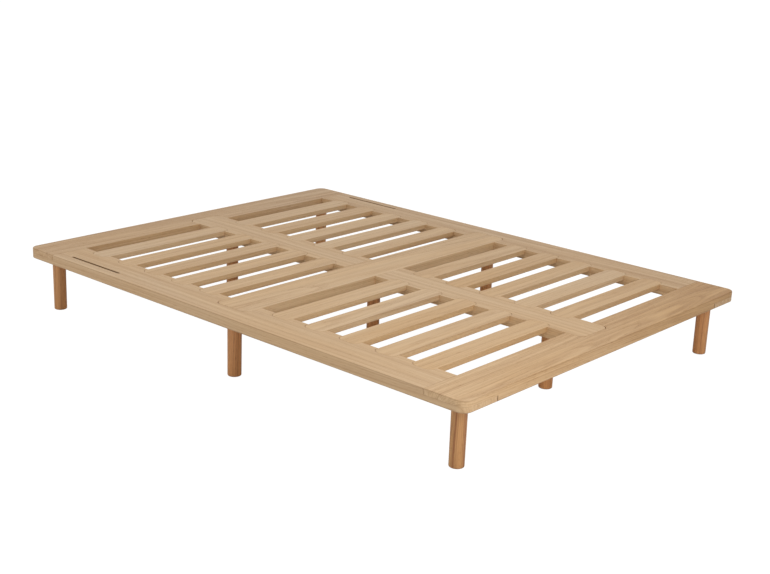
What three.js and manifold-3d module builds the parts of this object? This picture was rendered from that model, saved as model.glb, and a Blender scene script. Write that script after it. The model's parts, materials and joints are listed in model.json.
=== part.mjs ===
// Low platform bed frame in solid oak: a flush deck of lapped boards and drop-in slats on nine
// turned legs. Millimetres, +Z up. The origin is on the floor under the middle of the deck,
// +Y points to the head and +X to the right-hand side rail.

import * as THREE from 'three';
import { mergeVertices } from 'three/addons/utils/BufferGeometryUtils.js';
import Module from 'manifold-3d';

const wasm = await Module();
wasm.setup();

// ---- driving dimensions -------------------------------------------------------------------

const DECK_LENGTH = 2170;
const DECK_WIDTH = 1620;
const DECK_TOP = 250;
const BOARD_WIDTH = 155;
const BOARD_THICK = 40;
const OUTER_CORNER_RADIUS = 35;

const SLAT_COUNT = 5;
const SLAT_WIDTH = 86;
const OPENING = 70.5;
const CROSS_BOARD_Y = 8;

const SLAT_BEARING = 30;
const CENTRE_TONGUE = 66;
const CROSS_TONGUE = 74;
const POCKET_RADIUS = 24;
const FIT = 0.3;

const HEAD_CLEARANCE = 0.8;
const SHANK_CLEARANCE = 0.5;
const END_CLEARANCE = 1;

const SLOT_WIDTH = 10;
const SLOT_LENGTH = 286;
const SLOT_FROM_HEAD = 225;
const SLOT_FROM_EDGE = 43.5;

const LEG_TOP_RADIUS = 25.2;
const LEG_FOOT_RADIUS = 24.4;
const LEG_EDGE_RADIUS = 4;
const CORNER_LEG_INSET = 80;
const SIDE_LEG_INSET = 97;
const SIDE_LEG_Y = 2;
const END_LEG_Y = 812;

const STUD_RADIUS = 4.8;
const STUD_IN_LEG = 42;
const STUD_IN_DECK = 33;
const STUD_CHAMFER = 1.5;
const INSERT_RADIUS = 7.5;
const INSERT_LENGTH = 14;
const FLANGE_RADIUS = 11;
const FLANGE_THICK = 1.5;

const SCREW_LENGTH = 33;
const SCREW_RADIUS = 2.4;
const SCREW_HEAD_RADIUS = 4.7;
const SCREW_HEAD_HEIGHT = 2.6;
const SCREW_POINT = 3;
const SCREW_SPREAD = 45;

// Straight pieces to a quarter turn of a corner, or to the full turn of a round piece.
const CORNER_SEGMENTS = 4;
const SLOT_SEGMENTS = 3;
const LEG_SEGMENTS = 20;
const FOOT_EDGE_SEGMENTS = 2;
const HARDWARE_SEGMENTS = 10;
const SCREW_SEGMENTS = 8;

// How far a cutting shape runs out past the face it cuts.
const OVERCUT = 1;

// ---- worked out from them -----------------------------------------------------------------

const HALF_LENGTH = DECK_LENGTH / 2;
const HALF_WIDTH = DECK_WIDTH / 2;
const HALF_BOARD = BOARD_WIDTH / 2;
const INNER_X = HALF_WIDTH - BOARD_WIDTH;
const INNER_Y = HALF_LENGTH - BOARD_WIDTH;
const UNDERSIDE = DECK_TOP - BOARD_THICK;
const LAP_LEVEL = DECK_TOP - BOARD_THICK / 2;
const ABOVE = DECK_TOP + OVERCUT;
const BELOW = UNDERSIDE - OVERCUT;
const CROSS_LOW_Y = CROSS_BOARD_Y - HALF_BOARD;
const CROSS_HIGH_Y = CROSS_BOARD_Y + HALF_BOARD;
const CENTRE_TONGUE_Y = INNER_Y + CENTRE_TONGUE / 2;
const TONGUE_RADIUS = POCKET_RADIUS - FIT;
const STUD_TOP = UNDERSIDE + STUD_IN_DECK;

// The low edge of each slat, from the board at the head side of its section towards the foot.
function slatEdges(sectionTop) {
  const edges = [];
  for (let i = 0; i < SLAT_COUNT; i += 1) {
    edges.push(sectionTop - (i + 1) * (OPENING + SLAT_WIDTH));
  }
  return edges;
}

const SECTIONS = [
  { name: 'head', slats: slatEdges(INNER_Y) },
  { name: 'foot', slats: slatEdges(CROSS_LOW_Y) },
];
const ALL_SLAT_EDGES = SECTIONS.flatMap((section) => section.slats);

// ---- solids -------------------------------------------------------------------------------

function solid(geometry) {
  const bare = geometry.index ? geometry.toNonIndexed() : geometry.clone();
  bare.deleteAttribute('normal');
  bare.deleteAttribute('uv');
  const welded = mergeVertices(bare, 1e-4);
  const mesh = new wasm.Mesh({
    numProp: 3,
    vertProperties: new Float32Array(welded.attributes.position.array),
    triVerts: new Uint32Array(welded.index.array),
  });
  return new wasm.Manifold(mesh);
}

function geometryOf(manifold) {
  const mesh = manifold.getMesh();
  const geometry = new THREE.BufferGeometry();
  geometry.setAttribute('position', new THREE.BufferAttribute(mesh.vertProperties, 3));
  geometry.setIndex(new THREE.BufferAttribute(mesh.triVerts, 1));
  geometry.computeVertexNormals();
  return geometry;
}

function joined(solids) {
  return solids.reduce((whole, piece) => whole.add(piece));
}

function carved(stock, cuts) {
  return cuts.reduce((rest, cut) => rest.subtract(cut), stock);
}

const SQUARE = [0, 0, 0, 0];

// An upright plate between two opposite corners. The radii round its plan corners, in the order
// low X low Y, high X low Y, high X high Y, low X high Y.
function plate([x0, x1], [y0, y1], [z0, z1], radii = SQUARE, segments = CORNER_SEGMENTS) {
  const [a, b, c, d] = radii;
  const outline = new THREE.Shape();
  outline.moveTo(x0 + a, y0);
  outline.lineTo(x1 - b, y0);
  if (b) outline.absarc(x1 - b, y0 + b, b, -Math.PI / 2, 0);
  outline.lineTo(x1, y1 - c);
  if (c) outline.absarc(x1 - c, y1 - c, c, 0, Math.PI / 2);
  outline.lineTo(x0 + d, y1);
  if (d) outline.absarc(x0 + d, y1 - d, d, Math.PI / 2, Math.PI);
  outline.lineTo(x0, y0 + a);
  if (a) outline.absarc(x0 + a, y0 + a, a, Math.PI, 1.5 * Math.PI);
  const options = { depth: z1 - z0, bevelEnabled: false, curveSegments: segments };
  return solid(new THREE.ExtrudeGeometry(outline, options).translate(0, 0, z0));
}

// A turned shape standing on Z, from [radius, height] pairs listed from the bottom up its outside.
function turned(profile, segments) {
  const points = profile.map(([radius, height]) => new THREE.Vector2(radius, height));
  return new THREE.LatheGeometry(points, segments).rotateX(Math.PI / 2);
}

function mirrored(manifold) {
  return manifold.mirror([1, 0, 0]);
}

function placed(manifold, x, y) {
  return manifold.translate([x, y, 0]);
}

// ---- holes --------------------------------------------------------------------------------

// Clearance hole for a leg's stud, up from the underside.
function studHole({ x, y }) {
  const radius = STUD_RADIUS + HEAD_CLEARANCE;
  const top = STUD_TOP + END_CLEARANCE;
  const profile = [[0, BELOW], [radius, BELOW], [radius, top], [0, top]];
  return placed(solid(turned(profile, HARDWARE_SEGMENTS)), x, y);
}

// Hole for the threaded insert that the stud turns into, with a shallow seat for its flange.
function insertHole({ x, y, insertLow }) {
  const start = insertLow - OVERCUT;
  const wide = FLANGE_RADIUS + HEAD_CLEARANCE;
  const seat = insertLow + FLANGE_THICK + FIT;
  const narrow = INSERT_RADIUS + SHANK_CLEARANCE;
  const top = insertLow + INSERT_LENGTH + END_CLEARANCE;
  const profile = [
    [0, start],
    [wide, start],
    [wide, seat],
    [narrow, seat],
    [narrow, top],
    [0, top],
  ];
  return placed(solid(turned(profile, HARDWARE_SEGMENTS)), x, y);
}

// Countersunk clearance hole that runs up from the underside into both halves of a lap.
function screwHole({ x, y }) {
  const wide = SCREW_HEAD_RADIUS + HEAD_CLEARANCE;
  const shank = SCREW_RADIUS + SHANK_CLEARANCE;
  const sink = UNDERSIDE + FIT;
  const top = sink + SCREW_LENGTH + END_CLEARANCE;
  const profile = [
    [0, BELOW],
    [wide, BELOW],
    [wide, sink],
    [shank, sink + SCREW_HEAD_HEIGHT],
    [shank, top],
    [0, top],
  ];
  return placed(solid(turned(profile, SCREW_SEGMENTS)), x, y);
}

function slatPocket(low, [x0, x1], radii) {
  return plate([x0, x1], [low - FIT, low + SLAT_WIDTH + FIT], [LAP_LEVEL, ABOVE], radii);
}

// ---- where the legs and screws are --------------------------------------------------------

const CORNER_LEG = { x: HALF_WIDTH - CORNER_LEG_INSET, y: HALF_LENGTH - CORNER_LEG_INSET };
const SIDE_LEG_X = HALF_WIDTH - SIDE_LEG_INSET;

// A leg under a lap clamps it: its stud passes the lower half and turns into an insert in the
// upper half. The two end legs of the centre rail have their inserts in its underside.
const IN_UPPER_HALF = LAP_LEVEL + 2 * FIT;
const IN_UNDERSIDE = UNDERSIDE + FIT;

const CORNER_LEGS = [
  { name: 'head_left', x: -CORNER_LEG.x, y: CORNER_LEG.y, insertLow: IN_UPPER_HALF },
  { name: 'head_right', x: CORNER_LEG.x, y: CORNER_LEG.y, insertLow: IN_UPPER_HALF },
  { name: 'foot_left', x: -CORNER_LEG.x, y: -CORNER_LEG.y, insertLow: IN_UPPER_HALF },
  { name: 'foot_right', x: CORNER_LEG.x, y: -CORNER_LEG.y, insertLow: IN_UPPER_HALF },
];
const MIDDLE_LEGS = [
  { name: 'middle_left', x: -SIDE_LEG_X, y: SIDE_LEG_Y, insertLow: IN_UPPER_HALF },
  { name: 'middle_centre', x: 0, y: SIDE_LEG_Y, insertLow: IN_UPPER_HALF },
  { name: 'middle_right', x: SIDE_LEG_X, y: SIDE_LEG_Y, insertLow: IN_UPPER_HALF },
];
const CENTRE_END_LEGS = [
  { name: 'head_centre', x: 0, y: END_LEG_Y, insertLow: IN_UNDERSIDE },
  { name: 'foot_centre', x: 0, y: -END_LEG_Y, insertLow: IN_UNDERSIDE },
];
const LEGS = [...CORNER_LEGS, ...MIDDLE_LEGS, ...CENTRE_END_LEGS];

const TONGUE_SCREWS = [
  { name: 'head_left', x: -SCREW_SPREAD, y: CENTRE_TONGUE_Y },
  { name: 'head_right', x: SCREW_SPREAD, y: CENTRE_TONGUE_Y },
  { name: 'foot_left', x: -SCREW_SPREAD, y: -CENTRE_TONGUE_Y },
  { name: 'foot_right', x: SCREW_SPREAD, y: -CENTRE_TONGUE_Y },
];

// ---- deck boards --------------------------------------------------------------------------

// The end board is full width in its upper half, and its lower half fits between the side rails.
function endBoard(end) {
  const y = (near, far) => (end > 0 ? [near, far] : [-far, -near]);
  const r = OUTER_CORNER_RADIUS;
  const outer = end > 0 ? [0, 0, r, r] : [r, r, 0, 0];
  const across = y(INNER_Y, HALF_LENGTH);
  const upper = plate([-HALF_WIDTH, HALF_WIDTH], across, [LAP_LEVEL, DECK_TOP], outer);
  const lower = plate([-INNER_X + FIT, INNER_X - FIT], across, [UNDERSIDE, DECK_TOP]);
  const p = POCKET_RADIUS;
  const pocket = plate(
    [-HALF_BOARD - FIT, HALF_BOARD + FIT],
    y(INNER_Y - OVERCUT, INNER_Y + CENTRE_TONGUE + FIT),
    [LAP_LEVEL, ABOVE],
    end > 0 ? [0, 0, p, p] : [p, p, 0, 0],
  );
  const legs = CORNER_LEGS.filter((leg) => leg.y * end > 0);
  const screws = TONGUE_SCREWS.filter((spot) => spot.y * end > 0);
  return carved(joined([upper, lower]), [pocket, ...legs.map(insertHole), ...screws.map(screwHole)]);
}

// The side rail is full length in its lower half, so that each end board laps over its end.
function leftSideRail() {
  const r = OUTER_CORNER_RADIUS;
  const x = [-HALF_WIDTH, -INNER_X];
  const lower = plate(x, [-HALF_LENGTH, HALF_LENGTH], [UNDERSIDE, LAP_LEVEL - FIT], [r, 0, 0, r]);
  const upper = plate(x, [-INNER_Y + FIT, INNER_Y - FIT], [UNDERSIDE, DECK_TOP]);
  const p = POCKET_RADIUS;
  const slats = ALL_SLAT_EDGES.map((low) =>
    slatPocket(low, [-INNER_X - SLAT_BEARING - FIT, -INNER_X + OVERCUT], [p, 0, 0, p]));
  const cross = plate(
    [-INNER_X - CROSS_TONGUE - FIT, -INNER_X + OVERCUT],
    [CROSS_LOW_Y - FIT, CROSS_HIGH_Y + FIT],
    [LAP_LEVEL, ABOVE],
    [p, 0, 0, p],
  );
  const s = SLOT_WIDTH / 2;
  const slotX = -HALF_WIDTH + SLOT_FROM_EDGE;
  const slotTop = HALF_LENGTH - SLOT_FROM_HEAD;
  const slot = plate(
    [slotX - s, slotX + s],
    [slotTop - SLOT_LENGTH, slotTop],
    [BELOW, ABOVE],
    [s, s, s, s],
    SLOT_SEGMENTS,
  );
  const studs = LEGS.filter((leg) => leg.x < 0).map(studHole);
  return carved(joined([lower, upper]), [...slats, cross, slot, ...studs]);
}

function centreRail() {
  const t = TONGUE_RADIUS;
  const x = [-HALF_BOARD, HALF_BOARD];
  const reach = INNER_Y + CENTRE_TONGUE;
  const body = plate(x, [-INNER_Y + FIT, INNER_Y - FIT], [UNDERSIDE, DECK_TOP]);
  const tongues = plate(x, [-reach, reach], [LAP_LEVEL + FIT, DECK_TOP], [t, t, t, t]);
  const notch = plate(
    [-HALF_BOARD - OVERCUT, HALF_BOARD + OVERCUT],
    [CROSS_LOW_Y - FIT, CROSS_HIGH_Y + FIT],
    [LAP_LEVEL, ABOVE],
  );
  const inner = HALF_BOARD - SLAT_BEARING - FIT;
  const p = POCKET_RADIUS;
  const slats = ALL_SLAT_EDGES.flatMap((low) => [
    slatPocket(low, [inner, HALF_BOARD + OVERCUT], [p, 0, 0, p]),
    slatPocket(low, [-HALF_BOARD - OVERCUT, -inner], [0, p, p, 0]),
  ]);
  const studs = LEGS.filter((leg) => leg.x === 0).map(studHole);
  const inserts = CENTRE_END_LEGS.map(insertHole);
  const screws = TONGUE_SCREWS.map(screwHole);
  return carved(joined([body, tongues]), [notch, ...slats, ...studs, ...inserts, ...screws]);
}

// The cross board runs over the centre rail, and its tongues drop into the side rails.
function crossBoard() {
  const t = TONGUE_RADIUS;
  const y = [CROSS_LOW_Y, CROSS_HIGH_Y];
  const reach = INNER_X + CROSS_TONGUE;
  const body = plate([-INNER_X + FIT, INNER_X - FIT], y, [UNDERSIDE, DECK_TOP]);
  const tongues = plate([-reach, reach], y, [LAP_LEVEL + FIT, DECK_TOP], [t, t, t, t]);
  const notch = plate(
    [-HALF_BOARD - FIT, HALF_BOARD + FIT],
    [CROSS_LOW_Y - OVERCUT, CROSS_HIGH_Y + OVERCUT],
    [BELOW, LAP_LEVEL + FIT],
  );
  return carved(joined([body, tongues]), [notch, ...MIDDLE_LEGS.map(insertHole)]);
}

// One slat, lying across the left half of the deck, with round-cornered ends for its pockets.
function leftSlat() {
  const t = TONGUE_RADIUS;
  const x = [-INNER_X - SLAT_BEARING, -HALF_BOARD + SLAT_BEARING];
  return plate(x, [0, SLAT_WIDTH], [LAP_LEVEL + FIT, DECK_TOP], [t, t, t, t]);
}

// ---- legs and hardware --------------------------------------------------------------------

// A leg tapers slightly down to a rounded foot edge, and has a bore for its stud.
function legGeometry() {
  const top = UNDERSIDE - FIT;
  const r = LEG_EDGE_RADIUS;
  const bore = STUD_RADIUS + SHANK_CLEARANCE;
  const floor = top - STUD_IN_LEG - END_CLEARANCE;
  const profile = [[0, 0]];
  for (let i = 0; i <= FOOT_EDGE_SEGMENTS; i += 1) {
    const turn = (i / FOOT_EDGE_SEGMENTS) * (Math.PI / 2);
    profile.push([LEG_FOOT_RADIUS - r + r * Math.sin(turn), r - r * Math.cos(turn)]);
  }
  profile.push([LEG_TOP_RADIUS, top], [bore, top], [bore, floor], [0, floor]);
  return turned(profile, LEG_SEGMENTS);
}

function studGeometry() {
  const low = UNDERSIDE - FIT - STUD_IN_LEG;
  const profile = [
    [0, low],
    [STUD_RADIUS, low],
    [STUD_RADIUS, STUD_TOP - STUD_CHAMFER],
    [STUD_RADIUS - STUD_CHAMFER, STUD_TOP],
    [0, STUD_TOP],
  ];
  return turned(profile, HARDWARE_SEGMENTS);
}

function insertGeometry(low) {
  const high = low + INSERT_LENGTH;
  const bore = STUD_RADIUS + SHANK_CLEARANCE;
  const profile = [
    [bore, low],
    [FLANGE_RADIUS, low],
    [FLANGE_RADIUS, low + FLANGE_THICK],
    [INSERT_RADIUS, low + FLANGE_THICK],
    [INSERT_RADIUS, high],
    [bore, high],
    [bore, low],
  ];
  return turned(profile, HARDWARE_SEGMENTS);
}

function screwGeometry() {
  const head = UNDERSIDE + FIT;
  const end = head + SCREW_LENGTH;
  const profile = [
    [0, head],
    [SCREW_HEAD_RADIUS, head],
    [SCREW_RADIUS, head + SCREW_HEAD_HEIGHT],
    [SCREW_RADIUS, end - SCREW_POINT],
    [0, end],
  ];
  return turned(profile, SCREW_SEGMENTS);
}

// ---- materials and assembly ---------------------------------------------------------------

const OAK_DECK = { color: 0xc9a67e, roughness: 0.55, metalness: 0 };
const OAK_SLAT = { color: 0xccab83, roughness: 0.6, metalness: 0 };
const OAK_LEG = { color: 0xb58a5c, roughness: 0.55, metalness: 0 };
const STEEL = { color: 0xa9abae, roughness: 0.35, metalness: 0.9 };

const bedFrame = new THREE.Group();

function add(name, geometry, finish, x = 0, y = 0) {
  const mesh = new THREE.Mesh(geometry, new THREE.MeshStandardMaterial(finish));
  mesh.name = name;
  mesh.position.set(x, y, 0);
  bedFrame.add(mesh);
}

const leftRail = leftSideRail();
add('head_board', geometryOf(endBoard(1)), OAK_DECK);
add('foot_board', geometryOf(endBoard(-1)), OAK_DECK);
add('left_side_rail', geometryOf(leftRail), OAK_DECK);
add('right_side_rail', geometryOf(mirrored(leftRail)), OAK_DECK);
add('centre_rail', geometryOf(centreRail()), OAK_DECK);
add('cross_board', geometryOf(crossBoard()), OAK_DECK);

const slat = leftSlat();
const SLAT_SIDES = { left: slat, right: mirrored(slat) };
for (const section of SECTIONS) {
  for (const [side, shape] of Object.entries(SLAT_SIDES)) {
    section.slats.forEach((low, index) => {
      add(`slat_${section.name}_${side}_${index + 1}`, geometryOf(shape), OAK_SLAT, 0, low);
    });
  }
}

for (const leg of LEGS) {
  add(`leg_${leg.name}`, legGeometry(), OAK_LEG, leg.x, leg.y);
  add(`leg_stud_${leg.name}`, studGeometry(), STEEL, leg.x, leg.y);
  add(`threaded_insert_${leg.name}`, insertGeometry(leg.insertLow), STEEL, leg.x, leg.y);
}

for (const screw of TONGUE_SCREWS) {
  add(`tongue_screw_${screw.name}`, screwGeometry(), STEEL, screw.x, screw.y);
}

export default bedFrame;
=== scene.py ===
"""Low oak platform bed frame: lapped boards, drop-in slats and turned legs, on a pale studio floor.

Metres, +Z up, +Y to the head, origin on the floor under the middle of the deck. Every board, slat
and leg is built here as bevelled solid timber that stands for its CAD node, and the steel
hardware keeps its CAD shape apart from the tongue screws, which get a recessed head and rings.
"""

import json
import math
import random
from collections import namedtuple

import bmesh
import bpy
from mathutils import Matrix, Vector


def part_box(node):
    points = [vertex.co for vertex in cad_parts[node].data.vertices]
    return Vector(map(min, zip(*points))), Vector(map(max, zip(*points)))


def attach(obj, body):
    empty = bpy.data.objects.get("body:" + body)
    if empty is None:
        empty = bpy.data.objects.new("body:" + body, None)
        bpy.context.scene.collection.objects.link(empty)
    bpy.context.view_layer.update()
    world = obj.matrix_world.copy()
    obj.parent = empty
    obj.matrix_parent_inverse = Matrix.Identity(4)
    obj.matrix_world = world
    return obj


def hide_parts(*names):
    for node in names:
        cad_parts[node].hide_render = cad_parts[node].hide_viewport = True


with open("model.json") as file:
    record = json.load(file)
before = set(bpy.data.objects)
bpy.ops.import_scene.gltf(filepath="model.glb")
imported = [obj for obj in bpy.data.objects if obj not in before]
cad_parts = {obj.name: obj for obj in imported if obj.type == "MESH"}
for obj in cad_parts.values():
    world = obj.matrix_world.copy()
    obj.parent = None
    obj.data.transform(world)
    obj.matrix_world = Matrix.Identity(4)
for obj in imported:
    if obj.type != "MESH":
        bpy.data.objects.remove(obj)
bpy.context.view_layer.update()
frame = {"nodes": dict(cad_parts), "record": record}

BODY = "root"

# ---- sizes read from the frame -------------------------------------------------------------

head_low, head_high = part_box("head_board")
_, rail_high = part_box("left_side_rail")
centre_low, centre_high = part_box("centre_rail")
cross_low, cross_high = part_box("cross_board")
slat_low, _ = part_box("slat_head_left_1")

HALF_WIDTH = head_high.x
HALF_LENGTH = head_high.y
INNER_X = -rail_high.x
INNER_Y = head_low.y
HALF_BOARD = centre_high.x
TOP = head_high.z
UNDERSIDE = head_low.z
LAP = (TOP + UNDERSIDE) / 2
FIT = slat_low.z - LAP
BEARING = -INNER_X - slat_low.x

SECTIONS = ("head", "foot")
SIDES = ("left", "right")
SLATS_IN_SECTION = 5
SLAT_NUMBERS = range(1, SLATS_IN_SECTION + 1)
CORNERS = ("head_left", "head_right", "foot_left", "foot_right")
RAIL_LEGS = {
    "left_side_rail": ("head_left", "middle_left", "foot_left"),
    "right_side_rail": ("head_right", "middle_right", "foot_right"),
    "centre_rail": ("head_centre", "middle_centre", "foot_centre"),
}
LEGS = [name for names in RAIL_LEGS.values() for name in names]
SLOTS = {o["name"]: o["box_m"] for o in frame["record"]["physics"]["openings"]}

# ---- sizes of the timber's own detail ------------------------------------------------------

MM = 0.001
CORNER_RADIUS = 35 * MM
POCKET_RADIUS = 24 * MM
SLAT_TONGUE_RADIUS = 25.5 * MM
BOARD_TONGUE_RADIUS = 28 * MM
RIM_ARRIS = 3.5 * MM
EDGE_ARRIS = 1.1 * MM
BOARD_ARRIS = 0.7 * MM
SEAM_ARRIS = 0.3 * MM
RIM_SEAM_ARRIS = 1.2 * MM
LAP_GAP = 0.08 * MM
SHOULDER_GAP = 0.6 * MM
BUTT_GAP = 1.5 * MM
TONGUE_END_GAP = 0.9 * MM
SLOT_WIDTH = 10 * MM
STUD_CLEARANCE = 0.8 * MM
INSERT_RADIUS = 8 * MM
INSERT_FLANGE = 1.8 * MM
SCREW_CLEARANCE = 0.6 * MM
SCREW_SHANK = 2.9 * MM
SCREW_SINK = 2.6 * MM
OVERCUT = 5 * MM
NEAR = 0.02 * MM

CORNER_STEPS = 16
POCKET_STEPS = 8
SLOT_STEPS = 8
HOLE_STEPS = 24
ARRIS_STEPS = 3
FLAT_ANGLE = math.radians(1)
CORNER_ANGLE = math.radians(40)
SHARP_ANGLE = math.radians(45)


# ---- solids --------------------------------------------------------------------------------

def arc(centre, radius, start, turn, steps):
    """Points of an arc in plan, from start, in degrees, through turn."""
    points = []
    for i in range(steps + 1):
        angle = math.radians(start + turn * i / steps)
        points.append((centre[0] + radius * math.cos(angle), centre[1] + radius * math.sin(angle)))
    return points


def rounded(x0, x1, y0, y1, radii=(0, 0, 0, 0), steps=POCKET_STEPS):
    """A rectangle in plan. The radii go round from the low corner, anticlockwise."""
    corners = ((x0, y0, 1, 1), (x1, y0, -1, 1), (x1, y1, -1, -1), (x0, y1, 1, -1))
    outline = []
    for i, ((x, y, dx, dy), radius) in enumerate(zip(corners, radii)):
        if radius:
            centre = (x + dx * radius, y + dy * radius)
            outline += arc(centre, radius, 180 + 90 * i, 90, steps)
        else:
            outline.append((x, y))
    return outline


def circle(x, y, radius, steps=HOLE_STEPS):
    return arc((x, y), radius, 0, 360 * (steps - 1) / steps, steps - 1)


def prism(bm, outline, z0, z1):
    """Adds an upright solid of that outline to bm."""
    low = [bm.verts.new((x, y, z0)) for x, y in outline]
    high = [bm.verts.new((x, y, z1)) for x, y in outline]
    bm.faces.new(list(reversed(low)))
    bm.faces.new(high)
    for i, vert in enumerate(low):
        j = (i + 1) % len(low)
        bm.faces.new((vert, low[j], high[j], high[i]))


def lathe(bm, profile, x, y, steps):
    """Adds a turned solid whose profile, of (radius, height) pairs, starts and ends on its axis."""
    rings = []
    for radius, height in profile:
        if radius < NEAR:
            rings.append([bm.verts.new((x, y, height))])
        else:
            rings.append([bm.verts.new((px, py, height)) for px, py in circle(x, y, radius, steps)])
    for lower, upper in zip(rings, rings[1:]):
        for i in range(steps):
            j = (i + 1) % steps
            if len(lower) == 1:
                bm.faces.new((lower[0], upper[j], upper[i]))
            elif len(upper) == 1:
                bm.faces.new((lower[i], lower[j], upper[0]))
            else:
                bm.faces.new((lower[i], lower[j], upper[j], upper[i]))


def mesh_of(bm, name):
    mesh = bpy.data.meshes.new(name)
    bm.to_mesh(mesh)
    bm.free()
    return mesh


def linked(name, mesh):
    obj = bpy.data.objects.new(name, mesh)
    bpy.context.scene.collection.objects.link(obj)
    return obj


def apply_modifiers(obj):
    """Gives obj the mesh that its modifiers make, and drops them."""
    graph = bpy.context.evaluated_depsgraph_get()
    made = bpy.data.meshes.new_from_object(obj.evaluated_get(graph), depsgraph=graph)
    old = obj.data
    obj.modifiers.clear()
    obj.data = made
    made.name = obj.name
    bpy.data.meshes.remove(old)


def carve(obj, cuts):
    """Cuts the solids in the bmesh cuts out of obj.

    A bore goes in a later call than the lap it opens into, as one that overlaps another solid in
    the same call is only cut as deep as that solid.
    """
    cutter = linked("cutter", mesh_of(cuts, "cutter"))
    modifier = obj.modifiers.new("cut", "BOOLEAN")
    modifier.operation = "DIFFERENCE"
    modifier.solver = "EXACT"
    modifier.object = cutter
    apply_modifiers(obj)
    old = cutter.data
    bpy.data.objects.remove(cutter)
    bpy.data.meshes.remove(old)


def on_rim(point):
    """True on the upright outer face of the whole deck."""
    x, y = abs(point.x), abs(point.y)
    over_x, over_y = x - HALF_WIDTH + CORNER_RADIUS, y - HALF_LENGTH + CORNER_RADIUS
    if over_x > 0 and over_y > 0:
        return abs(math.hypot(over_x, over_y) - CORNER_RADIUS) < NEAR
    return x > HALF_WIDTH - NEAR or y > HALF_LENGTH - NEAR


def rim_arris(edge):
    """The wide arris runs round the top and bottom of the deck's outer face."""
    a, b = (vert.co for vert in edge.verts)
    level = all(abs(p.z - TOP) < NEAR or abs(p.z - UNDERSIDE) < NEAR for p in (a, b))
    return level and abs(a.z - b.z) < NEAR and on_rim(a) and on_rim(b)


def ease_edges(obj, arris_of):
    """Rounds the edges to the radius that arris_of gives for each, and smooths across them."""
    bm = bmesh.new()
    bm.from_mesh(obj.data)
    bmesh.ops.remove_doubles(bm, verts=bm.verts, dist=NEAR)
    bmesh.ops.dissolve_limit(bm, angle_limit=FLAT_ANGLE, verts=bm.verts, edges=bm.edges)
    weight = bm.edges.layers.float.new("bevel_weight_edge")
    for edge in bm.edges:
        if edge.is_manifold and edge.is_convex and edge.calc_face_angle() > CORNER_ANGLE:
            edge[weight] = arris_of(edge) / RIM_ARRIS
    for face in bm.faces:
        face.smooth = True
    bm.to_mesh(obj.data)
    bm.free()
    bevel = obj.modifiers.new("arris", "BEVEL")
    bevel.limit_method = "WEIGHT"
    bevel.width = RIM_ARRIS
    bevel.segments = ARRIS_STEPS
    bevel.use_clamp_overlap = False
    bevel.loop_slide = False
    apply_modifiers(obj)
    obj.data.set_sharp_from_angle(angle=SHARP_ANGLE)
    obj.modifiers.new("normals", "WEIGHTED_NORMAL").keep_sharp = True
    apply_modifiers(obj)


# ---- holes ---------------------------------------------------------------------------------

def plan_of(node):
    low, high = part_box(node)
    return (low.x + high.x) / 2, (low.y + high.y) / 2


def stud_hole(cuts, leg):
    low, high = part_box(f"leg_stud_{leg}")
    x, y = plan_of(f"leg_stud_{leg}")
    radius = (high.y - low.y) / 2 + STUD_CLEARANCE
    prism(cuts, circle(x, y, radius), UNDERSIDE - OVERCUT, high.z + MM)


def insert_hole(cuts, leg):
    low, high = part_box(f"threaded_insert_{leg}")
    x, y = plan_of(f"threaded_insert_{leg}")
    wide = (high.y - low.y) / 2 + STUD_CLEARANCE
    start = low.z - MM
    seat = low.z + INSERT_FLANGE
    top = high.z + MM
    profile = [(0, start), (wide, start), (wide, seat), (INSERT_RADIUS, seat)]
    lathe(cuts, profile + [(INSERT_RADIUS, top), (0, top)], x, y, HOLE_STEPS)


def screw_hole(cuts, corner):
    low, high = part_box(f"tongue_screw_{corner}")
    x, y = plan_of(f"tongue_screw_{corner}")
    wide = (high.y - low.y) / 2 + SCREW_CLEARANCE
    start = UNDERSIDE - OVERCUT
    sink = low.z + SCREW_SINK
    top = high.z + MM
    profile = [(0, start), (wide, start), (wide, low.z), (SCREW_SHANK, sink)]
    lathe(cuts, profile + [(SCREW_SHANK, top), (0, top)], x, y, HOLE_STEPS)


def slat_pocket(cuts, slat, x0, x1, radii):
    low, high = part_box(slat)
    outline = rounded(x0, x1, low.y - FIT, high.y + FIT, radii)
    prism(cuts, outline, LAP, TOP + OVERCUT)


# ---- the timber pieces ---------------------------------------------------------------------

def stock(name, outline, z0, z1):
    bm = bmesh.new()
    prism(bm, outline, z0, z1)
    return linked(name, mesh_of(bm, name))


def end_board(end, corners):
    """The head or foot board: full width in its upper half, and between the side rails below."""
    low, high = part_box(f"{end}_board")
    outward = 1 if end == "head" else -1
    r, p = CORNER_RADIUS, POCKET_RADIUS
    outer = (0, 0, r, r) if outward > 0 else (r, r, 0, 0)
    outline = rounded(low.x, high.x, low.y, high.y, outer, CORNER_STEPS)
    obj = stock(f"{end}_board_oak", outline, UNDERSIDE, TOP)
    cuts = bmesh.new()
    y0, y1 = low.y - OVERCUT, high.y + OVERCUT
    for side in (-1, 1):
        x0, x1 = sorted((side * (INNER_X - BUTT_GAP), side * (HALF_WIDTH + OVERCUT)))
        prism(cuts, rounded(x0, x1, y0, y1), UNDERSIDE - OVERCUT, LAP)
    reach = centre_high.y + TONGUE_END_GAP
    if outward > 0:
        pocket = rounded(-HALF_BOARD - FIT, HALF_BOARD + FIT, y0, reach, (0, 0, p, p))
    else:
        pocket = rounded(-HALF_BOARD - FIT, HALF_BOARD + FIT, -reach, y1, (p, p, 0, 0))
    prism(cuts, pocket, LAP, TOP + OVERCUT)
    carve(obj, cuts)
    bores = bmesh.new()
    for corner in corners:
        insert_hole(bores, corner)
        screw_hole(bores, corner)
    carve(obj, bores)
    return obj


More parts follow.
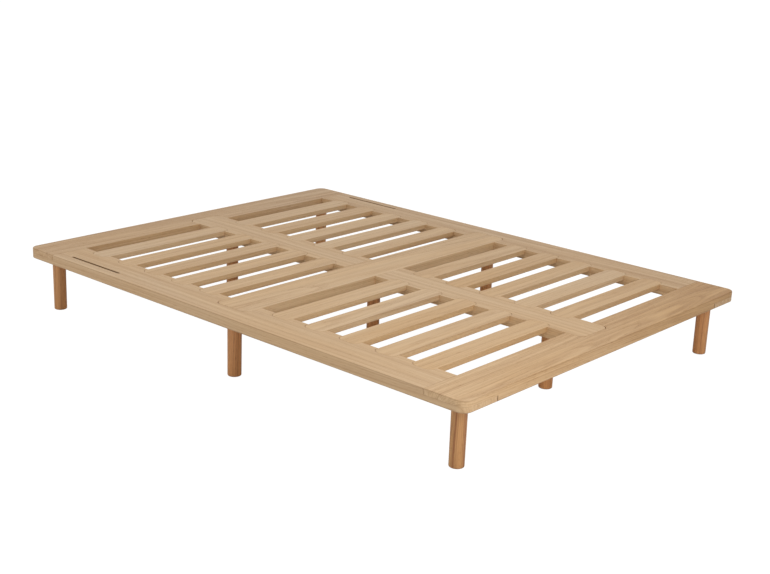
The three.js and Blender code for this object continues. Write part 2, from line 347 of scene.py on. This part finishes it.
def side_rail(side):
    """A side rail: full length in its lower half, and between the end boards above."""
    low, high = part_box(f"{side}_side_rail")
    r, p = CORNER_RADIUS, POCKET_RADIUS
    left = side == "left"
    outer = (r, 0, 0, r) if left else (0, r, r, 0)
    outline = rounded(low.x, high.x, low.y, high.y, outer, CORNER_STEPS)
    obj = stock(f"{side}_side_rail_oak", outline, UNDERSIDE, TOP)
    cuts = bmesh.new()
    x0, x1 = low.x - OVERCUT, high.x + OVERCUT
    shoulder = INNER_Y - SHOULDER_GAP
    for y0, y1 in ((low.y - OVERCUT, -shoulder), (shoulder, high.y + OVERCUT)):
        prism(cuts, rounded(x0, x1, y0, y1), LAP - LAP_GAP, TOP + OVERCUT)
    inner = high.x if left else low.x
    inward = 1 if left else -1
    inner_round = (p, 0, 0, p) if left else (0, p, p, 0)

    def reach(depth):
        return sorted((inner - inward * (depth + FIT), inner + inward * OVERCUT))

    for section in SECTIONS:
        for number in SLAT_NUMBERS:
            slat_pocket(cuts, f"slat_{section}_{side}_{number}", *reach(BEARING), inner_round)
    tongue = reach(cross_high.x - INNER_X + TONGUE_END_GAP - FIT)
    cross = rounded(*tongue, cross_low.y - FIT, cross_high.y + FIT, inner_round)
    prism(cuts, cross, LAP, TOP + OVERCUT)
    (sx0, sy0, _), (sx1, sy1, _) = SLOTS[f"{side}_slot"]
    spare = (SLOT_WIDTH - (sx1 - sx0)) / 2
    half = SLOT_WIDTH / 2
    round_end = half + spare
    slot = rounded(sx0 - spare, sx1 + spare, sy0 - round_end, sy1 + round_end, (half,) * 4, SLOT_STEPS)
    prism(cuts, slot, UNDERSIDE - OVERCUT, TOP + OVERCUT)
    for leg in RAIL_LEGS[f"{side}_side_rail"]:
        stud_hole(cuts, leg)
    carve(obj, cuts)
    return obj


def centre_rail():
    """The long middle rail, with a tongue at each end and a notch under the cross board."""
    t, p = BOARD_TONGUE_RADIUS, POCKET_RADIUS
    low, high = centre_low, centre_high
    obj = stock("centre_rail_oak", rounded(low.x, high.x, low.y, high.y, (t,) * 4), UNDERSIDE, TOP)
    cuts = bmesh.new()
    x0, x1 = low.x - OVERCUT, high.x + OVERCUT
    for y0, y1 in ((low.y - OVERCUT, -INNER_Y + FIT), (INNER_Y - FIT, high.y + OVERCUT)):
        prism(cuts, rounded(x0, x1, y0, y1), UNDERSIDE - OVERCUT, LAP + FIT)
    prism(cuts, rounded(x0, x1, cross_low.y - FIT, cross_high.y + FIT), LAP, TOP + OVERCUT)
    seat = high.x - BEARING - FIT
    for section in SECTIONS:
        for number in SLAT_NUMBERS:
            slat_pocket(cuts, f"slat_{section}_left_{number}", x0, -seat, (0, p, p, 0))
            slat_pocket(cuts, f"slat_{section}_right_{number}", seat, x1, (p, 0, 0, p))
    for leg in RAIL_LEGS["centre_rail"]:
        stud_hole(cuts, leg)
    carve(obj, cuts)
    bores = bmesh.new()
    for leg in ("head_centre", "foot_centre"):
        insert_hole(bores, leg)
    for corner in CORNERS:
        screw_hole(bores, corner)
    carve(obj, bores)
    return obj


def cross_board():
    """The cross board, whose tongues drop into the side rails, notched over the centre rail."""
    low, high = cross_low, cross_high
    outline = rounded(low.x, high.x, low.y, high.y, (BOARD_TONGUE_RADIUS,) * 4)
    obj = stock("cross_board_oak", outline, UNDERSIDE, TOP)
    cuts = bmesh.new()
    y0, y1 = low.y - OVERCUT, high.y + OVERCUT
    for side in (-1, 1):
        x0, x1 = sorted((side * (INNER_X - FIT), side * (high.x + OVERCUT)))
        prism(cuts, rounded(x0, x1, y0, y1), UNDERSIDE - OVERCUT, LAP + FIT)
    notch = rounded(-HALF_BOARD - FIT, HALF_BOARD + FIT, y0, y1)
    prism(cuts, notch, UNDERSIDE - OVERCUT, LAP + FIT)
    carve(obj, cuts)
    bores = bmesh.new()
    for leg in ("middle_left", "middle_centre", "middle_right"):
        insert_hole(bores, leg)
    carve(obj, bores)
    return obj


def slat(node):
    low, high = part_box(node)
    outline = rounded(low.x, high.x, low.y, high.y, (SLAT_TONGUE_RADIUS,) * 4)
    return stock(f"{node}_oak", outline, low.z, high.z)


LEG_STEPS = 72
LEG_EDGE = 4 * MM
LEG_EDGE_STEPS = 6
LEG_TAPER = 0.8 * MM
LEG_TOP_EDGE = 0.6 * MM
LEG_SHARP_ANGLE = math.radians(35)


def turned_leg(name):
    """A turned leg that tapers slightly to a rounded foot edge, with a bore for its stud."""
    low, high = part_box(f"leg_{name}")
    stud_low, stud_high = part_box(f"leg_stud_{name}")
    x, y = plan_of(f"leg_{name}")
    top_radius = (high.x - low.x) / 2
    foot_radius = top_radius - LEG_TAPER
    profile = [(0, low.z)]
    for i in range(LEG_EDGE_STEPS + 1):
        turn = math.pi / 2 * i / LEG_EDGE_STEPS
        radius = foot_radius - LEG_EDGE + LEG_EDGE * math.sin(turn)
        profile.append((radius, low.z + LEG_EDGE - LEG_EDGE * math.cos(turn)))
    bore = (stud_high.y - stud_low.y) / 2 + STUD_CLEARANCE
    floor = stud_low.z - MM
    profile += [
        (top_radius, high.z - LEG_TOP_EDGE),
        (top_radius - LEG_TOP_EDGE, high.z),
        (bore, high.z),
        (bore, floor),
        (0, floor),
    ]
    bm = bmesh.new()
    lathe(bm, profile, x, y, LEG_STEPS)
    for face in bm.faces:
        face.smooth = True
    obj = linked(f"leg_{name}_oak", mesh_of(bm, f"leg_{name}_oak"))
    obj.data.set_sharp_from_angle(angle=LEG_SHARP_ANGLE)
    return obj


# ---- steel ---------------------------------------------------------------------------------

SCREW_STEPS = 32
SCREW_PITCH = 2.2 * MM
SCREW_CORE = 1.6 * MM
SCREW_THREAD = 2.35 * MM
SCREW_NECK = 9 * MM
SCREW_TIP = 3 * MM
RECESS_ARM = 2.6 * MM
RECESS_WIDTH = 0.9 * MM
RECESS_DEPTH = 1.7 * MM
THREAD_FLANK = 0.3 * SCREW_PITCH


def wood_screw(corner):
    """A countersunk wood screw driven up from below: a cross recess, and rings for a thread."""
    low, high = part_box(f"tongue_screw_{corner}")
    x, y = plan_of(f"tongue_screw_{corner}")
    head = (high.x - low.x) / 2
    thread_from = low.z + SCREW_NECK
    thread_to = high.z - SCREW_TIP
    turns = int((thread_to - thread_from) / SCREW_PITCH)
    profile = [(0, low.z), (head, low.z), (SCREW_THREAD, low.z + SCREW_SINK)]
    profile.append((SCREW_THREAD, thread_from))
    for i in range(turns):
        z = thread_from + i * SCREW_PITCH
        profile += [(SCREW_CORE, z + THREAD_FLANK), (SCREW_THREAD, z + SCREW_PITCH)]
    profile += [(SCREW_CORE, thread_to + THREAD_FLANK), (0, high.z)]
    bm = bmesh.new()
    lathe(bm, profile, x, y, SCREW_STEPS)
    obj = linked(f"tongue_screw_{corner}_steel", mesh_of(bm, "screw"))
    cuts = bmesh.new()
    a, w = RECESS_ARM, RECESS_WIDTH / 2
    cross = [(a, -w), (a, w), (w, w), (w, a), (-w, a), (-w, w)]
    cross += [(-px, -py) for px, py in cross]
    prism(cuts, [(x + px, y + py) for px, py in cross], low.z - MM, low.z + RECESS_DEPTH)
    carve(obj, cuts)
    return obj


# ---- timber figure -------------------------------------------------------------------------

# How a piece was sawn from its log. The grain runs along axis. pith is how far the middle of the
# piece lies from the pith across and up, and tilt is how much the piece was sawn askew. tone is how
# much lighter than usual the wood is, and fade how much lighter and paler it gets for each metre
# along it. warmth runs from straw, at 0, to honey, at 1, and figure is how strongly the grain shows.
Sawn = namedtuple("Sawn", "axis pith tilt tone fade warmth figure", defaults=(0.0, 0.0, 0.3, 1.0))

GRAIN_AXES = {"x": (0, 1, 2), "y": (1, 0, 2), "z": (2, 0, 1)}
FADE_WARMTH = 1.6
# The faces in the deck's seams and in the slots are painted darker as painted shade, and the arris
# faces get a darker tint.
ARRIS_SHADE = 0.3
PAINTED_SLOT_SHADE = 0.65
PAINTED_BUTT_SEAM_SHADE = 0.95
PAINTED_SHOULDER_SEAM_SHADE = 0.15
SEAM_REACH = 3 * MM
LEVEL = 0.95
UPRIGHT = 0.1
LOG_SPACING = 20


def painted_gap_shade_and_arris_tint(face):
    """How dark a face is painted: painted shade, most in the seams on the deck's end faces and in the
    slots, and a darker tint on its arris faces.
    """
    x, y, _ = face.center
    if abs(abs(x) - INNER_X) < SEAM_REACH and abs(y) > HALF_LENGTH - SEAM_REACH:
        return PAINTED_BUTT_SEAM_SHADE
    if abs(abs(y) - INNER_Y) < SEAM_REACH and abs(x) > HALF_WIDTH - SEAM_REACH:
        return PAINTED_SHOULDER_SEAM_SHADE
    for (x0, y0, _), (x1, y1, _) in SLOTS.values():
        if x0 - MM < x < x1 + MM and y0 - SLOT_WIDTH < y < y1 + SLOT_WIDTH:
            return PAINTED_SLOT_SHADE
    return ARRIS_SHADE if UPRIGHT < abs(face.normal.z) < LEVEL else 0.0


def lay_grain(obj, sawn):
    """Stores on the mesh where each point lay in its log, how the wood looks there, and its painted
    shade in the seams and slots and darker arrises.
    """
    mesh = obj.data
    low = Vector([min(v.co[i] for v in mesh.vertices) for i in range(3)])
    high = Vector([max(v.co[i] for v in mesh.vertices) for i in range(3)])
    middle = (low + high) / 2
    along, across, up = GRAIN_AXES[sawn.axis]
    shift = random.Random(obj.name).uniform(-LOG_SPACING, LOG_SPACING)
    spots, looks = [], []
    for vert in mesh.vertices:
        local = vert.co - middle
        run = local[along]
        spots += [
            run + shift,
            local[across] + sawn.pith[0] + sawn.tilt[0] * run,
            local[up] + sawn.pith[1] + sawn.tilt[1] * run,
        ]
        paler = sawn.fade * run
        looks += [sawn.tone + paler, sawn.warmth - FADE_WARMTH * paler, sawn.figure]
    # Each face's painted shade in the seams and slots and darker tint on the arrises, stored as the
    # cut attribute.
    cuts = [painted_gap_shade_and_arris_tint(face) for face in mesh.polygons]
    mesh.attributes.new("log", "FLOAT_VECTOR", "POINT").data.foreach_set("vector", spots)
    mesh.attributes.new("look", "FLOAT_VECTOR", "POINT").data.foreach_set("vector", looks)
    mesh.attributes.new("cut", "FLOAT", "FACE").data.foreach_set("value", cuts)


# ---- materials -----------------------------------------------------------------------------

class Nodes:
    """A short way to build a node tree: each call adds one node and returns its output."""

    def __init__(self, material):
        material.use_nodes = True
        self.tree = material.node_tree
        self.tree.nodes.clear()

    def add(self, kind, **settings):
        node = self.tree.nodes.new(kind)
        for key, value in settings.items():
            setattr(node, key, value)
        return node

    def feed(self, socket, value):
        if isinstance(value, bpy.types.NodeSocket):
            self.tree.links.new(value, socket)
        else:
            socket.default_value = value

    def math(self, operation, a, b=0.0, clamp=False):
        node = self.add("ShaderNodeMath", operation=operation, use_clamp=clamp)
        self.feed(node.inputs[0], a)
        self.feed(node.inputs[1], b)
        return node.outputs[0]

    def vector(self, operation, a, b):
        node = self.add("ShaderNodeVectorMath", operation=operation)
        self.feed(node.inputs[0], a)
        self.feed(node.inputs[1], b)
        return node.outputs[0]

    def attribute(self, name, output):
        return self.add("ShaderNodeAttribute", attribute_name=name).outputs[output]

    def split(self, vector):
        node = self.add("ShaderNodeSeparateXYZ")
        self.feed(node.inputs[0], vector)
        return node.outputs

    def noise(self, vector, detail=2.0, roughness=0.5, output="Fac"):
        node = self.add("ShaderNodeTexNoise", noise_dimensions="3D")
        self.feed(node.inputs["Vector"], vector)
        node.inputs["Scale"].default_value = 1.0
        node.inputs["Detail"].default_value = detail
        node.inputs["Roughness"].default_value = roughness
        return node.outputs[output]

    def ramp(self, value, stops):
        """A grey ramp through (position, value) stops."""
        node = self.add("ShaderNodeValToRGB")
        node.color_ramp.elements[0].position = stops[0][0]
        node.color_ramp.elements[1].position = stops[-1][0]
        for position, _ in stops[1:-1]:
            node.color_ramp.elements.new(position)
        for element, (_, level) in zip(node.color_ramp.elements, stops):
            element.color = (level, level, level, 1)
        self.feed(node.inputs[0], value)
        return node.outputs[0]

    def mix(self, factor, a, b, blend="MIX"):
        node = self.add("ShaderNodeMix", data_type="RGBA", blend_type=blend)
        self.feed(node.inputs[0], factor)
        self.feed(node.inputs[6], a)
        self.feed(node.inputs[7], b)
        return node.outputs[2]

    def bump(self, height, strength, distance, normal=None):
        node = self.add("ShaderNodeBump")
        node.inputs["Strength"].default_value = strength
        node.inputs["Distance"].default_value = distance
        self.feed(node.inputs["Height"], height)
        if normal is not None:
            self.feed(node.inputs["Normal"], normal)
        return node.outputs[0]

    def surface(self, **sockets):
        shader = self.add("ShaderNodeBsdfPrincipled")
        for name, value in sockets.items():
            self.feed(shader.inputs[name.replace("_", " ")], value)
        out = self.add("ShaderNodeOutputMaterial")
        self.feed(out.inputs["Surface"], shader.outputs[0])


def srgb(red, green, blue):
    """A colour given in screen values of 0 to 255, as a linear RGBA."""
    def linear(level):
        level /= 255
        return level / 12.92 if level <= 0.04045 else ((level + 0.055) / 1.055) ** 2.4
    return (linear(red), linear(green), linear(blue), 1)


RING_WIDTH = 6.5 * MM
RING_SPREAD = 3.0
SWAY = 45 * MM
RIPPLE = 4 * MM
MEAN_SHADE = 0.16
MEAN_ROUGH = 0.4

# How often each feature repeats in a metre: along the grain first, then across it both ways.
SWAY_RATE = (0.9, 6, 6)
RIPPLE_RATE = (4, 40, 40)
DRIFT_RATE = (1.1, 8, 8)
STREAK_RATE = (1.3, 75, 75)
FIBRE_RATE = (11, 520, 520)
PORE_RATE = (34, 1100, 1100)

# How often each repeats in a metre out from the pith, and the rays' rates along, round and out.
SPREAD_RATE = (70, 1, 1)
SEASON_RATE = (52, 1, 1)
RAY_ALONG, RAY_ROUND, RAY_OUT = 26.0, 480.0, 60.0

# How far each feature moves the wood from its pale to its dark colour.
EARLY_DEPTH = 0.3
SEASON_DEPTH = 1.5
STREAK_DEPTH = 1.6
FIBRE_DEPTH = 0.5
PORE_DEPTH = 0.4
HONEY_DEPTH = 0.4
RAY_DEPTH = 0.16

# The ramps that turn each pattern into a shade, as (pattern, shade) stops.
RING_STOPS = [(0.0, 0.9), (0.1, 1.0), (0.5, 0.25), (0.9, 0.0), (1.0, 0.6)]
PORE_STOPS = [(0.6, 0.0), (0.7, 1.0)]
RAY_STOPS = [(0.08, 1.0), (0.22, 0.0)]
HONEY_STOPS = [(0.3, 0.0), (0.7, 1.0)]


def wander(n, log, rate, reach):
    """Moves a point off its line by up to half of reach, without shifting it along the grain."""
    drift = n.noise(n.vector("MULTIPLY", log, rate), 2, 0.5, "Color")
    centred = n.vector("SUBTRACT", drift, (0.5, 0.5, 0.5))
    return n.vector("MULTIPLY", centred, (0, reach, reach))


def rays(n, along, angle, radius):
    """The short pale flecks that run out from the pith."""
    round_at = n.math("MULTIPLY", angle, radius)
    place_at = n.add("ShaderNodeCombineXYZ")
    n.feed(place_at.inputs[0], n.math("MULTIPLY", along, RAY_ALONG))
    n.feed(place_at.inputs[1], n.math("MULTIPLY", round_at, RAY_ROUND))
    n.feed(place_at.inputs[2], n.math("MULTIPLY", radius, RAY_OUT))
    cells = n.add("ShaderNodeTexVoronoi", feature="F1")
    cells.inputs["Scale"].default_value = 1.0
    n.feed(cells.inputs["Vector"], place_at.outputs[0])
    return n.ramp(cells.outputs["Distance"], RAY_STOPS)


def oak(name, pale, warm, dark, painted_shade_and_arris_brown, contrast):
    """Oiled oak, from where each point lay in its log: growth rings, streaks, pores and rays, with
    painted shade in the seams and slots and darker arrises.
    """
    material = bpy.data.materials.new(name)
    n = Nodes(material)
    log = n.attribute("log", "Vector")
    tone, warmth, figure = n.split(n.attribute("look", "Vector"))

    bent = n.vector("ADD", log, wander(n, log, SWAY_RATE, SWAY))
    bent = n.vector("ADD", bent, wander(n, log, RIPPLE_RATE, RIPPLE))
    along, across, up = n.split(bent)
    square = n.math("ADD", n.math("MULTIPLY", across, across), n.math("MULTIPLY", up, up))
    radius = n.math("SQRT", square)
    angle = n.math("ARCTAN2", up, across)

    out = n.add("ShaderNodeCombineXYZ")
    n.feed(out.inputs[0], radius)
    from_pith = out.outputs[0]
    spread = n.noise(n.vector("MULTIPLY", from_pith, SPREAD_RATE), 2, 0.5)
    count = n.math("DIVIDE", radius, RING_WIDTH)
    ring = n.math("FRACT", n.math("ADD", count, n.math("MULTIPLY", spread, RING_SPREAD)))
    early = n.ramp(ring, RING_STOPS)
    season = n.noise(n.vector("MULTIPLY", from_pith, SEASON_RATE), 2, 0.6)

    streak = n.noise(n.vector("MULTIPLY", bent, STREAK_RATE), 4, 0.6)
    fibre = n.noise(n.vector("MULTIPLY", bent, FIBRE_RATE), 3, 0.6)
    pore = n.ramp(n.noise(n.vector("MULTIPLY", bent, PORE_RATE), 1, 0.5), PORE_STOPS)
    pore = n.math("MULTIPLY", pore, n.math("ADD", early, 0.15, clamp=True))
    drift = n.noise(n.vector("MULTIPLY", log, DRIFT_RATE), 3, 0.55)
    ray = rays(n, along, angle, radius)

    def swing(value, amount):
        return n.math("MULTIPLY", n.math("SUBTRACT", value, 0.5), amount * contrast)

    honey = n.math("MULTIPLY", n.ramp(drift, HONEY_STOPS), HONEY_DEPTH)
    colour = n.mix(n.math("ADD", honey, warmth, clamp=True), pale, warm)
    shade = n.math("MULTIPLY", early, EARLY_DEPTH * contrast)
    shade = n.math("ADD", shade, swing(season, SEASON_DEPTH))
    shade = n.math("ADD", shade, swing(streak, STREAK_DEPTH))
    shade = n.math("ADD", shade, swing(fibre, FIBRE_DEPTH))
    shade = n.math("ADD", shade, n.math("MULTIPLY", pore, PORE_DEPTH))
    shade = n.math("ADD", n.math("MULTIPLY", shade, figure), MEAN_SHADE)
    shade = n.math("SUBTRACT", shade, tone, clamp=True)
    colour = n.mix(shade, colour, dark)
    colour = n.mix(n.math("MULTIPLY", ray, RAY_DEPTH), colour, pale)
    # Painted shade: the cut attribute darkens the faces in the seams and slots, and the arris faces
    # partly, towards a dark brown.
    colour = n.mix(n.attribute("cut", "Fac"), colour, painted_shade_and_arris_brown)

    rough = n.math("ADD", n.math("MULTIPLY", fibre, 0.16), n.math("MULTIPLY", pore, 0.15))
    rough = n.math("ADD", rough, MEAN_ROUGH)
    hollow = n.math("ADD", pore, n.math("MULTIPLY", early, 0.4))
    height = n.math("SUBTRACT", n.math("MULTIPLY", fibre, 0.5), hollow)
    normal = n.bump(height, 0.25, 0.35 * MM)
    n.surface(Base_Color=colour, Roughness=rough, Normal=normal, Specular_IOR_Level=0.5)
    return material


def zinc_steel():
    """Bright zinc plating, slightly blotched and scratched."""
    material = bpy.data.materials.new("zinc_steel_worn")
    n = Nodes(material)
    spot = n.add("ShaderNodeTexCoord").outputs["Object"]
    blotch = n.noise(n.vector("MULTIPLY", spot, (420, 420, 420)), 3, 0.6)
    scratch = n.noise(n.vector("MULTIPLY", spot, (3000, 3000, 350)), 2, 0.5)
    colour = n.mix(blotch, srgb(196, 198, 202), srgb(158, 160, 158))
    rough = n.math("ADD", n.math("MULTIPLY", blotch, 0.25), n.math("MULTIPLY", scratch, 0.15))
    rough = n.math("ADD", rough, 0.16)
    normal = n.bump(scratch, 0.12, 0.05 * MM)
    n.surface(Base_Color=colour, Roughness=rough, Metallic=1.0, Normal=normal)
    return material


STRAW = srgb(216, 188, 152)
HONEY = srgb(210, 169, 116)
GRAIN = srgb(158, 112, 64)
# The dark brown of the painted shade in the seams and slots and of the darker arrises.
PAINTED_SHADE_AND_ARRIS_BROWN = srgb(120, 82, 48)
DECK_CONTRAST = 0.5
LEG_CONTRAST = 0.6
DECK_OAK = oak("deck_oak", STRAW, HONEY, GRAIN, PAINTED_SHADE_AND_ARRIS_BROWN, DECK_CONTRAST)
SLAT_OAK = oak("slat_oak", STRAW, HONEY, GRAIN, PAINTED_SHADE_AND_ARRIS_BROWN, DECK_CONTRAST)
LEG_STRAW = srgb(224, 180, 118)
LEG_HONEY = srgb(216, 152, 96)
LEG_GRAIN = srgb(146, 92, 50)
LEG_OAK = oak("leg_oak", LEG_STRAW, LEG_HONEY, LEG_GRAIN, PAINTED_SHADE_AND_ARRIS_BROWN, LEG_CONTRAST)
STEEL = zinc_steel()


# ---- putting the pieces in place -----------------------------------------------------------

def place(obj, node, material):
    """obj rides on the frame and stands for its CAD node."""
    obj.data.materials.clear()
    obj.data.materials.append(material)
    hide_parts(node)
    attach(obj, BODY)


def arris_board(edge):
    """Wide round the deck's rim, narrow on the other top and bottom edges, and slight at the laps."""
    if rim_arris(edge):
        return RIM_ARRIS
    a, b = (vert.co for vert in edge.verts)
    if abs(a.z - b.z) < NEAR and abs(a.z - LAP) > 2 * FIT:
        return BOARD_ARRIS
    if abs(a.z - b.z) > NEAR and on_rim(a) and on_rim(b):
        return RIM_SEAM_ARRIS
    return SEAM_ARRIS


BOARDS = {
    "head_board": (
        lambda: end_board("head", CORNERS[:2]),
        Sawn("x", (0.03, 0.11), (0.012, 0.004), tone=-0.12, warmth=0.2, figure=1.4),
    ),
    "foot_board": (
        lambda: end_board("foot", CORNERS[2:]),
        Sawn("x", (0.055, 0.06), (-0.02, 0.02), tone=-0.08, fade=-0.19, warmth=0.5, figure=1.5),
    ),
    "left_side_rail": (
        lambda: side_rail("left"),
        Sawn("y", (0.12, 0.05), (0.006, 0.004), warmth=0.25),
    ),
    "right_side_rail": (
        lambda: side_rail("right"),
        Sawn("y", (-0.1, 0.07), (0.01, -0.004), tone=-0.07, warmth=0.15, figure=1.3),
    ),
    "centre_rail": (centre_rail, Sawn("y", (0.09, 0.06), (-0.008, 0.006), tone=0.04, warmth=0.2)),
    "cross_board": (cross_board, Sawn("x", (0.02, 0.12), (0.01, 0.006), tone=0.09, figure=1.3)),
}

for node, (build, sawn) in BOARDS.items():
    board = build()
    ease_edges(board, arris_board)
    lay_grain(board, sawn)
    place(board, node, DECK_OAK)

for section in SECTIONS:
    for side in SIDES:
        for number in SLAT_NUMBERS:
            node = f"slat_{section}_{side}_{number}"
            chance = random.Random(node)
            bar = slat(node)
            ease_edges(bar, lambda edge: EDGE_ARRIS)
            pith = (chance.uniform(-0.12, 0.12), chance.uniform(0.05, 0.13))
            tilt = (chance.uniform(-0.02, 0.02), chance.uniform(-0.012, 0.012))
            tone = chance.uniform(0.0, 0.1)
            lay_grain(bar, Sawn("x", pith, tilt, tone, warmth=chance.uniform(0.1, 0.45)))
            place(bar, node, SLAT_OAK)

STRAW_LEG = "foot_left"
STRAW_LEG_TONE = -0.38
STRAW_LEG_WARMTH = 0.1
LEG_FIGURE = 1.3

for name in LEGS:
    chance = random.Random(name)
    leg = turned_leg(name)
    pith = (chance.uniform(0.04, 0.12), chance.uniform(-0.08, 0.08))
    tilt = (chance.uniform(-0.03, 0.03), 0.02)
    tone = chance.uniform(-0.05, 0.05)
    warmth = chance.uniform(0.5, 0.9)
    if name == STRAW_LEG:
        tone, warmth = STRAW_LEG_TONE, STRAW_LEG_WARMTH
    lay_grain(leg, Sawn("z", pith, tilt, tone, warmth=warmth, figure=LEG_FIGURE))
    place(leg, f"leg_{name}", LEG_OAK)
    for part in ("leg_stud", "threaded_insert"):
        hardware = frame["nodes"][f"{part}_{name}"]
        hardware.data.materials.clear()
        hardware.data.materials.append(STEEL)

for corner in CORNERS:
    place(wood_screw(corner), f"tongue_screw_{corner}", STEEL)


# ---- floor, light and camera ---------------------------------------------------------------

FLOOR_REACH = 60.0
FLOOR_DROP = 0.4 * MM
FLOOR_COLOUR = (0.76, 0.76, 0.755, 1)
WORLD_LIGHT = 0.64
WHITE_SWEEP = 1.12
SHADOW_LEFT = 0.12


def pale_floor():
    """A white sweep: the camera sees it lit almost evenly, and it throws a muted light upwards."""
    half = FLOOR_REACH
    bm = bmesh.new()
    corners = [(-half, -half), (half, -half), (half, half), (-half, half)]
    bm.faces.new([bm.verts.new((x, y, -FLOOR_DROP)) for x, y in corners])
    floor = linked("studio_floor", mesh_of(bm, "studio_floor"))
    material = bpy.data.materials.new("pale_floor")
    n = Nodes(material)
    paint = n.add("ShaderNodeBsdfDiffuse")
    paint.inputs["Color"].default_value = FLOOR_COLOUR
    glow = n.add("ShaderNodeEmission")
    seen = n.add("ShaderNodeLightPath").outputs["Is Camera Ray"]
    blend = n.add("ShaderNodeMixShader")
    n.feed(blend.inputs[0], n.math("MULTIPLY", seen, 1 - SHADOW_LEFT))
    n.feed(blend.inputs[1], paint.outputs[0])
    n.feed(blend.inputs[2], glow.outputs[0])
    n.feed(n.add("ShaderNodeOutputMaterial").inputs["Surface"], blend.outputs[0])
    glow.inputs["Strength"].default_value = WHITE_SWEEP
    floor.data.materials.append(material)


def soft_light(name, place_at, aim, size, power):
    data = bpy.data.lights.new(name, "AREA")
    data.shape = "SQUARE"
    data.size = size
    data.energy = power
    obj = bpy.data.objects.new(name, data)
    bpy.context.scene.collection.objects.link(obj)
    obj.location = place_at
    obj.rotation_euler = (Vector(aim) - Vector(place_at)).to_track_quat("-Z", "Y").to_euler()
    obj.visible_camera = False


def studio():
    """A white room with one soft lamp overhead, one low by the near corner, and one at the left."""
    world = bpy.data.worlds.new("studio")
    bpy.context.scene.world = world
    world.use_nodes = True
    tree = world.node_tree
    background = tree.nodes["Background"]
    background.inputs["Color"].default_value = (1, 1, 1, 1)
    seen = tree.nodes.new("ShaderNodeLightPath").outputs["Is Camera Ray"]
    strength = tree.nodes.new("ShaderNodeMapRange")
    strength.inputs["To Min"].default_value = WORLD_LIGHT
    strength.inputs["To Max"].default_value = 1.0
    tree.links.new(seen, strength.inputs["Value"])
    tree.links.new(strength.outputs[0], background.inputs["Strength"])
    soft_light("overhead", (-0.8, -0.7, 3.3), (-0.2, -0.2, TOP), 2.5, 24)
    soft_light("near_corner", (-0.9, -2.4, 1.1), (-0.5, -0.9, TOP), 0.8, 11)
    soft_light("left", (-3.0, 1.9, 1.1), (0, 0.6, TOP), 1.5, 9.5)


CAMERA_AZIMUTH = -48.74
CAMERA_ELEVATION = 17.24
CAMERA_ROLL = 2.24
CAMERA_DISTANCE = 4.7821
CAMERA_TARGET = (-0.1538, -0.1881)
SENSOR = 36.0
LENS = 61.43


def camera():
    azimuth, elevation = math.radians(CAMERA_AZIMUTH), math.radians(CAMERA_ELEVATION)
    back = Vector((
        math.sin(azimuth) * math.cos(elevation),
        -math.cos(azimuth) * math.cos(elevation),
        math.sin(elevation),
    ))
    right = (-back).cross(Vector((0, 0, 1))).normalized()
    up = right.cross(-back)
    roll = math.radians(CAMERA_ROLL)
    turned = Matrix((
        right * math.cos(roll) + up * math.sin(roll),
        up * math.cos(roll) - right * math.sin(roll),
        back,
    )).transposed()
    data = bpy.data.cameras.new("camera")
    data.sensor_width = SENSOR
    data.lens = LENS
    data.clip_end = 4 * FLOOR_REACH
    obj = bpy.data.objects.new("camera", data)
    bpy.context.scene.collection.objects.link(obj)
    target = Vector((*CAMERA_TARGET, TOP))
    obj.matrix_world = Matrix.Translation(target + back * CAMERA_DISTANCE) @ turned.to_4x4()
    bpy.context.scene.camera = obj


pale_floor()
studio()
camera()
bpy.context.scene.view_settings.view_transform = "Standard"
